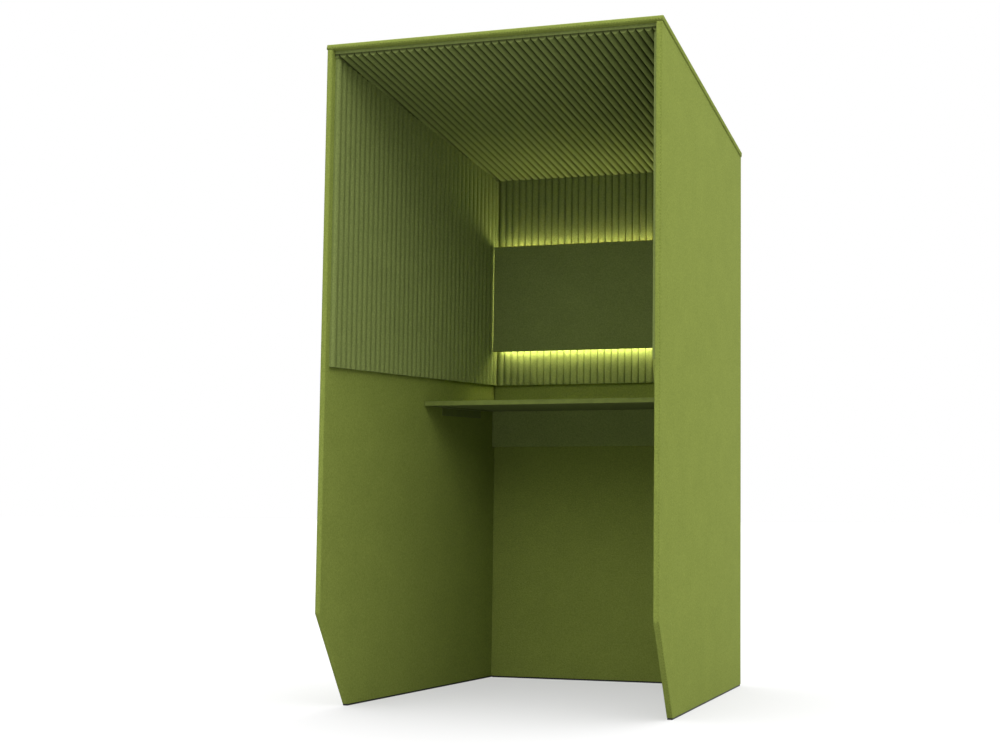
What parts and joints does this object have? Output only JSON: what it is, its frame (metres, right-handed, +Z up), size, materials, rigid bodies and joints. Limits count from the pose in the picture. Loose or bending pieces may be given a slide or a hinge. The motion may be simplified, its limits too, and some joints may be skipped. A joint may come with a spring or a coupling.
{
  "type": "acoustic office pod",
  "caption": "Felt-covered three-sided standing pod with a roof that falls to the back, ribbed sound linings, a bar-height desk and a back-lit hanging panel.",
  "frame": {"origin": "on the floor, under the centre of the pod's box", "axes": "+Z up, +Y from the open front to the back wall, +X to the right seen from the front"},
  "size_m": [1.2, 1.11, 2.2],
  "materials": {
    "wall_felt": "pressed lime-olive wool felt, matt",
    "rib_felt": "ribbed lime-olive felt lining, matt",
    "board": "raw fibreboard",
    "desk_sheet": "matt olive-green desk sheet",
    "black_plastic": "fine-grained black plastic",
    "painted_steel": "dark powder coat",
    "bare_steel": "zinc-plated",
    "aluminium": "satin anodised",
    "buffer_rubber": "black rubber",
    "circuit": "white circuit strip",
    "opal_plastic": "lit opal diffuser",
    "white_plastic": "matt white plastic",
    "dowel_wood": "beech"
  },
  "bodies": {
    "pod": {"left_wall_cover": "wall_felt", "right_wall_cover": "wall_felt", "back_wall_cover": "wall_felt", "roof_cover": "wall_felt", "desk_rail_cover": "wall_felt", "left_liner": "rib_felt", "right_liner": "rib_felt", "back_liner": "rib_felt", "ceiling_liner": "rib_felt", "left_wall_board": "board", "right_wall_board": "board", "back_wall_board": "board", "roof_board": "board", "desk_board": "board", "desk_rail_board": "board", "desk_top_sheet": "desk_sheet", "desk_front_edge": "desk_sheet", "left_base_rail": "black_plastic", "right_base_rail": "black_plastic", "back_base_rail": "black_plastic", "left_desk_angle": "painted_steel", "right_desk_angle": "painted_steel", "lamp_wall_hanger": "aluminium", "power_inlet": "black_plastic", "left_lower_corner_dowel": "dowel_wood", "left_upper_corner_dowel": "dowel_wood", "right_lower_corner_dowel": "dowel_wood", "right_upper_corner_dowel": "dowel_wood", "left_front_roof_dowel": "dowel_wood", "left_back_roof_dowel": "dowel_wood", "right_front_roof_dowel": "dowel_wood", "right_back_roof_dowel": "dowel_wood"},
    "lamp_panel": {"lamp_panel_cover": "wall_felt", "lamp_panel_board": "board", "lamp_panel_hanger": "aluminium", "left_lamp_buffer": "buffer_rubber", "right_lamp_buffer": "buffer_rubber", "top_light_channel": "aluminium", "bottom_light_channel": "aluminium", "left_light_channel": "aluminium", "right_light_channel": "aluminium", "top_light_strip": "circuit", "bottom_light_strip": "circuit", "left_light_strip": "circuit", "right_light_strip": "circuit", "top_light_diffuser": "opal_plastic", "bottom_light_diffuser": "opal_plastic", "left_light_diffuser": "opal_plastic", "right_light_diffuser": "opal_plastic", "lamp_driver": "white_plastic", "switch_housing": "black_plastic"},
    "rocker": {"switch_rocker": "black_plastic"},
    "foot_left_front": {"left_front_foot": "bare_steel"},
    "foot_left_back": {"left_back_foot": "bare_steel"},
    "foot_right_front": {"right_front_foot": "bare_steel"},
    "foot_right_back": {"right_back_foot": "bare_steel"},
    "foot_back_left": {"back_left_foot": "bare_steel"},
    "foot_back_right": {"back_right_foot": "bare_steel"}
  },
  "joints": [
    {"name": "lamp_lift", "type": "slide", "parent": "pod", "child": "lamp_panel", "axis": [0, 0, 1], "range_m": [0, 0.0125]},
    {"name": "rocker_tilt", "type": "hinge", "parent": "lamp_panel", "child": "rocker", "pos_m": [0.4354, 0.4989, 1.253], "axis": [0, 1, 0], "range_deg": [0, 14]},
    {"name": "level_left_front", "type": "slide", "parent": "pod", "child": "foot_left_front", "axis": [0, 0, -1], "range_m": [0, 0.012]},
    {"name": "level_left_back", "type": "slide", "parent": "pod", "child": "foot_left_back", "axis": [0, 0, -1], "range_m": [0, 0.012]},
    {"name": "level_right_front", "type": "slide", "parent": "pod", "child": "foot_right_front", "axis": [0, 0, -1], "range_m": [0, 0.012]},
    {"name": "level_right_back", "type": "slide", "parent": "pod", "child": "foot_right_back", "axis": [0, 0, -1], "range_m": [0, 0.012]},
    {"name": "level_back_left", "type": "slide", "parent": "pod", "child": "foot_back_left", "axis": [0, 0, -1], "range_m": [0, 0.012]},
    {"name": "level_back_right", "type": "slide", "parent": "pod", "child": "foot_back_right", "axis": [0, 0, -1], "range_m": [0, 0.012]}
  ]
}
